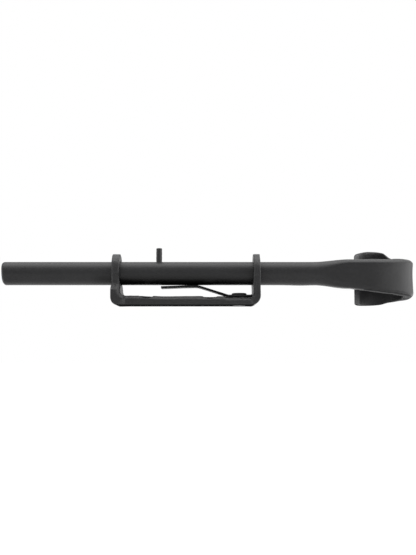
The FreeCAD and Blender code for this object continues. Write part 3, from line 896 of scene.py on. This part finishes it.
def strap_stations():
    """All stations, from the front ear's top down, along the base and up the rear ear."""
    top_round = 3.0 * MM
    heights = np.concatenate([
        STRAP_HIGH.z + FULL - np.linspace(0, 1, 14)[:-1] ** 2 * top_round,
        np.arange(STRAP_HIGH.z - top_round, BASE_TOP + REAR_INNER_BEND, -0.5 * MM)])
    front = [(np.array([STRAP_LOW.x - FULL * ease((12.0 - z / MM) / 3.0), z]),
              np.array([front_face(z), z]), front_half(z))
             for z in heights if z > BASE_TOP + FRONT_INNER_BEND + 0.4 * MM]
    rear = [(np.array([STRAP_HIGH.x + FULL / 2, z]), np.array([rear_face(z), z]), rear_half(z))
            for z in heights[::-1]]
    corner = (front_face(0.0) + FRONT_INNER_BEND, base_top(-40 * MM) + FRONT_INNER_BEND)
    front_bend = bend((STRAP_LOW.x + FRONT_BEND, FRONT_BEND), FRONT_BEND + FULL,
                      corner, FRONT_INNER_BEND, 180, 270)
    base = [(np.array([x, 0.0]), np.array([x, base_top(x)]), base_half(x))
            for x in np.linspace(corner[0] + 0.1 * MM, REAR_FACE - 2.6 * MM, 150)]
    rear_bend = bend((STRAP_HIGH.x - REAR_BEND, REAR_BEND), REAR_BEND + FULL / 2,
                     (rear_face(0.0) - REAR_INNER_BEND, BASE_TOP + REAR_INNER_BEND),
                     REAR_INNER_BEND, 270, 360)
    return front + front_bend + base + rear_bend + rear


def edge_radii(middle):
    """How soft the outer and the inner edges are at a place on the strap."""
    x, z = middle[0] / MM, middle[1] / MM
    up = ease((z - 3.0) / 4.0)
    if x < -30.0:
        return (mix(0.25, 1.0, ease((z - 10.0) / 4.0)) * MM,
                mix(mix(2.2, 2.4, up), 0.7, ease((z - 10.0) / 3.0)) * MM)
    if x > 30.0:
        return mix(0.25, 0.45, up) * MM, mix(2.0, 0.7, up) * MM
    return 0.25 * MM, 2.0 * MM


STATIONS = strap_stations()
print("strap", len(STATIONS), "stations")

# %% The strap, bent
EDGE_BEVEL = 0.6
rings = []
for outer, inner, half in STATIONS:
    across = inner - outer
    thickness = float(np.linalg.norm(across))
    outer_edge, inner_edge = (
        min(radius, 0.45 * thickness, 0.95 * half) for radius in edge_radii((outer + inner) / 2))
    edges = (outer_edge, inner_edge, inner_edge, outer_edge)
    section = rounded_section(0.0, thickness, -half, half, edges, STRAP_COUNT, EDGE_BEVEL)
    flat = outer + section[:, :1] / thickness * across
    # Beside the spring's foot the base is dressed down, and its long edges stand a little up.
    on_base = ease((6.2 - flat[:, 1] / MM) / 1.0)
    lowered = pad(flat[:, 0], section[:, 1]) * on_base
    lifted = 0.12 * MM * ease((np.abs(section[:, 1]) / MM - 5.5) / 2.0) * on_base
    flat[:, 1] += section[:, 0] / thickness * (lowered + lifted)
    rings.append(np.stack([flat[:, 0], section[:, 1], flat[:, 1]], axis=1))
strap = swept("bracket_skin", rings)

# %% The strap, drilled
SPARE = 2 * MM  # how far a cutter starts outside the strap
cutters = [turned("rod_bores", (0, 0, AXIS_HEIGHT), (1, 0, 0), [
    (BORE_RADIUS, STRAP_LOW.x - 5 * MM), (BORE_RADIUS, STRAP_HIGH.x + 5 * MM)])]
for side_x in (-0.5, 0.5):
    for side_y in (-0.5, 0.5):
        place = (SCREWS["pos_m"][0] + side_x * SCREWS["dims"]["spacing_x_mm"] * MM,
                 side_y * SCREWS["dims"]["spacing_y_mm"] * MM, 0.0)
        cutters.append(turned("screw_hole", place, (0, 0, 1), [
            (HOLE_RADIUS, -SPARE), (HOLE_RADIUS, BASE_TOP - (SINK_RADIUS - HOLE_RADIUS)),
            (SINK_RADIUS, BASE_TOP), (SINK_RADIUS, BASE_TOP + SPARE)]))
cutters.append(turned("rivet_hole", (RIVET_X, 0, 0), (0, 0, 1), [
    (TAIL_RADIUS, -SPARE), (TAIL_RADIUS, 0.0), (SHANK_RADIUS, TAIL_HEIGHT),
    (SHANK_RADIUS, 8 * MM)]))
for cutter in cutters:
    drill = strap.modifiers.new(cutter.name, "BOOLEAN")
    drill.operation, drill.solver, drill.object = "DIFFERENCE", "EXACT", cutter
remesh = strap.modifiers.new("even_faces", "REMESH")
remesh.mode, remesh.voxel_size = "VOXEL", 0.34 * MM
smooth = strap.modifiers.new("smooth", "SMOOTH")
smooth.factor, smooth.iterations = 0.5, 5
strap.data = shown_mesh(strap)
strap.modifiers.clear()
for cutter in cutters:
    bpy.data.objects.remove(cutter)
print("strap", len(strap.data.polygons), "faces")

# %% The strap, hammered
def keep_inside(piece, low, high):
    """Presses points that stand proud of the piece's box back onto it."""
    places = np.clip(points_of(piece), np.array(low), np.array(high))
    piece.data.vertices.foreach_set("co", places.astype(np.float32).ravel())
    piece.data.update()
    say_box(piece.name, places.min(0), places.max(0))


set_worked(strap, lambda places: ease((places[:, 2] + 0.3 * MM) / (3.5 * MM)))
run_tree(strap, HAMMER, **{
    "Mark Size": 7.0 * MM, "Depth": 0.22 * MM, "Seed": 0.7, "Finish": STRAP_FINISH})
keep_inside(strap, STRAP_LOW, STRAP_HIGH)
face_outwards(strap)

# %% [markdown]
# ### The drawn lines
# Drawing the iron out left fine lines along the strap, which turn the bends with it. Lines along X
# would run straight through the ears, so each point keeps its own way along the strap in an
# attribute. The finish reads it there. A UV map could hold it too, but the remesh made none.

# %% The way along the strap
def write_strap_way(piece):
    """Keeps on each point its way along the strap, across it and through it, in metres."""
    middles = np.array([(outer + inner) / 2 for outer, inner, _ in STATIONS])
    ways = ways_along(middles)
    places = points_of(piece)
    best = np.ones(len(places))
    found = np.zeros((len(places), 3), dtype=np.float32)
    for start, end, way in zip(middles, middles[1:], ways):
        run = end - start
        length = float(np.linalg.norm(run))
        if length < 1e-9:
            continue
        offset = places[:, (0, 2)] - start
        share = np.clip(offset @ run / length**2, 0.0, 1.0)
        away = np.linalg.norm(offset - share[:, None] * run, axis=1)
        side = np.sign(offset[:, 0] * run[1] - offset[:, 1] * run[0])
        nearer = away < best
        best[nearer] = away[nearer]
        found[nearer] = np.stack([way + share * length, places[:, 1], side * away], axis=1)[nearer]
    layer = piece.data.attributes.new("strap_way", "FLOAT_VECTOR", "POINT")
    layer.data.foreach_set("vector", found.ravel())
    print("strap is", round(float(ways[-1]) / MM, 1), "mm long, drawn straight")


write_strap_way(strap)
# Painted shade on the strap's underside.
coat_faces(strap, BACK_SHADE_FINISH, lambda face: face.center.z < STRAP_LOW.z + 0.2 * MM)
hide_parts("bracket")
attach(strap, "frame")

# %% [markdown]
# ## The leaf spring
# The leaf is a strip of spring steel. Its foot lies on the strap under the rivet, it slopes up to
# a soft knee that bears on the bolt from below, and its arm runs on a little downwards. Its shape
# follows a rule: a line with four corners, each rounded to its own radius, swept by a strip. So
# it is a Geometry Nodes tree: Fillet Curve rounds the corners, each by the radius kept on its
# point, and Curve to Mesh sweeps the strip. A bevelled curve object could do it too, but it keeps
# its bevel round and has no say in the size of each corner.

# %% A tree that bends a strip
def leaf_tree():
    """Rounds the corners of a line and sweeps a strip with soft edges along it."""
    tree, given = new_tree("bent_leaf", ("Width", "Thickness", "Edge Radius", "Step"))
    rounded = add_node(
        tree, "GeometryNodeFilletCurve", mode="POLY", Count=24, Curve=given["Geometry"],
        Radius=add_node(tree, "GeometryNodeInputRadius"))
    even = add_node(
        tree, "GeometryNodeResampleCurve", mode="LENGTH", Curve=rounded, Length=given["Step"])
    plain = add_node(tree, "GeometryNodeSetCurveRadius", Curve=even, Radius=1.0)
    level = add_node(tree, "GeometryNodeSetCurveNormal", mode="Z_UP", Curve=plain)

    strip = add_node(tree, "GeometryNodeCurvePrimitiveQuadrilateral", mode="RECTANGLE",
                     Width=given["Width"], Height=given["Thickness"])
    edged = add_node(tree, "GeometryNodeFilletCurve", mode="POLY", Count=4, Curve=strip,
                     Radius=given["Edge Radius"])
    fine = add_node(tree, "GeometryNodeResampleCurve", mode="COUNT", Count=96, Curve=edged)
    bar = add_node(tree, "GeometryNodeCurveToMesh", **{
        "Curve": level, "Profile Curve": fine, "Fill Caps": True})
    return end_tree(tree, bar, given["Finish"])


# %% The leaf spring
LEAF_THICK = 1.1 * MM
LEAF_SLOPE = math.radians(17.7)
KNEE_X = 6.6 * MM
KNEE_Z = SPRING_HIGH.z + 0.04 * MM - LEAF_THICK / 2 + 0.1 * MM
FOOT_Z = BASE_TOP + LEAF_THICK / 2
TOE_X = KNEE_X + (KNEE_Z - FOOT_Z) / math.tan(LEAF_SLOPE)
line = bpy.data.curves.new("leaf_line", "CURVE")
line.dimensions = "3D"
run = line.splines.new("POLY")
LEAF_LINE = (
    (SPRING_HIGH.x + 0.9 * MM, FOOT_Z + 0.35 * MM, 0.0), (SPRING_HIGH.x, FOOT_Z, 1.2 * MM),
    (TOE_X, FOOT_Z, 3.0 * MM), (KNEE_X, KNEE_Z, 12.0 * MM),
    (-0.5 * MM, KNEE_Z - 0.14 * MM, 30.0 * MM), (SPRING_LOW.x, KNEE_Z - 0.60 * MM, 0.0))
run.points.add(len(LEAF_LINE) - 1)
for point, (x, z, radius) in zip(run.points, LEAF_LINE):
    point.co, point.radius = (x, 0.0, z, 1.0), radius
leaf = run_tree(put_in_scene("leaf_spring_skin", line), leaf_tree(), **{
    "Width": SPRING_HIGH.y * 2, "Thickness": LEAF_THICK, "Edge Radius": 0.28 * MM,
    "Step": 0.35 * MM, "Finish": SPRING_FINISH})
face_outwards(leaf)
# Painted light on the leaf's foot.
coat_faces(leaf, FOOT_LIGHT_FINISH, lambda face: face.center.x > TOE_X - 0.5 * MM)
say_box(leaf.name, leaf.bound_box[0], leaf.bound_box[6])
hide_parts("leaf_spring")
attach(leaf, "frame")

# %% [markdown]
# ## The stop pin
# A short round pin is driven into the bolt and stops it at either ear. It was cut from wire, so
# its side isn't quite even, and its end was filed over. A cylinder with a Bevel modifier would be
# too perfect, so it is a turned profile with an uneven side and a soft top edge.

# %% The stop pin
PIN_RADIUS = PIN_HIGH.y
PIN_X = (PIN_LOW.x + PIN_HIGH.x) / 2
PIN_EDGE = 0.45 * MM
PIN_FOOT, PIN_SHOULDER = AXIS_HEIGHT + ROD_RADIUS, PIN_HIGH.z - 0.6 * MM
side = [(PIN_RADIUS - 0.03 * MM * math.sin(k), mix(PIN_FOOT, PIN_SHOULDER, k / 16))
        for k in range(1, 16)]
top_edge = [(PIN_RADIUS - PIN_EDGE + PIN_EDGE * math.sin(a),
             PIN_HIGH.z - PIN_EDGE + PIN_EDGE * math.cos(a))
            for a in np.radians(np.linspace(90, 0, 8))]
profile = [(PIN_RADIUS - 0.02 * MM, PIN_LOW.z), (PIN_RADIUS, PIN_FOOT - 0.6 * MM),
           *side, *top_edge, (0.5 * MM, PIN_HIGH.z)]
pin = turned("stop_pin_skin", (PIN_X, 0, 0), (0, 0, 1), profile, 64)
pin.data.materials.append(PIN_FINISH)
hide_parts("stop_pin")
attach(pin, "bolt")

# %% [markdown]
# ## The rivet
# The rivet holds the leaf's foot down. It was headed hot with a few hammer blows, so its low head
# has small flats and is not quite round, and its tail fills the countersink under the strap. A
# lathe gives the round part, and each ring of the head is then pressed out of round.

# %% The rivet
HEAD_RADIUS = (RIVET_HIGH.x - RIVET_LOW.x) / 2
HEAD_FOOT = BASE_TOP + LEAF_THICK
CLEAR = 0.05 * MM  # between the rivet and the hole in the strap
head = [(HEAD_RADIUS - 0.85 * MM * (1 - math.cos(a)),
         RIVET_HIGH.z - 0.12 * MM - 0.72 * MM * (1 - math.sin(a)))
        for a in np.radians(np.linspace(0, 84, 10))]
head += [(share * (HEAD_RADIUS - 0.9 * MM), RIVET_HIGH.z - 0.11 * MM * share**2)
         for share in (0.9, 0.75, 0.6, 0.45, 0.3, 0.15)]
profile = [(0.6 * MM, RIVET_LOW.z), (TAIL_RADIUS - CLEAR, RIVET_LOW.z),
           (TAIL_RADIUS - CLEAR, 0.2 * MM), (SHANK_RADIUS - CLEAR, TAIL_HEIGHT),
           (SHANK_RADIUS - CLEAR, HEAD_FOOT), (HEAD_RADIUS - 0.12 * MM, HEAD_FOOT), *head]
rivet = turned("spring_rivet_skin", (RIVET_X, 0, 0), (0, 0, 1), profile, 96)
for point in rivet.data.vertices:
    if point.co.z > HEAD_FOOT + 0.05 * MM:
        way = math.atan2(point.co.y, point.co.x - RIVET_X)
        press = 1 - 0.010 * (1 + math.cos(5 * way + 0.8)) - 0.006 * (1 + math.cos(8 * way))
        point.co.x = RIVET_X + (point.co.x - RIVET_X) * press
        point.co.y *= press
rivet.data.materials.append(RIVET_FINISH)
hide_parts("spring_rivet")
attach(rivet, "frame")

# %% [markdown]
# ## The size of the whole
# The skins and the solids must fill the same box. The solids' boxes are printed at the start, and
# the box of the shown skins here.

# %% Finish the frame
bpy.context.scene.view_settings.view_transform = "Standard"
new_low, new_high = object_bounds()
say_box("box", new_low, new_high)
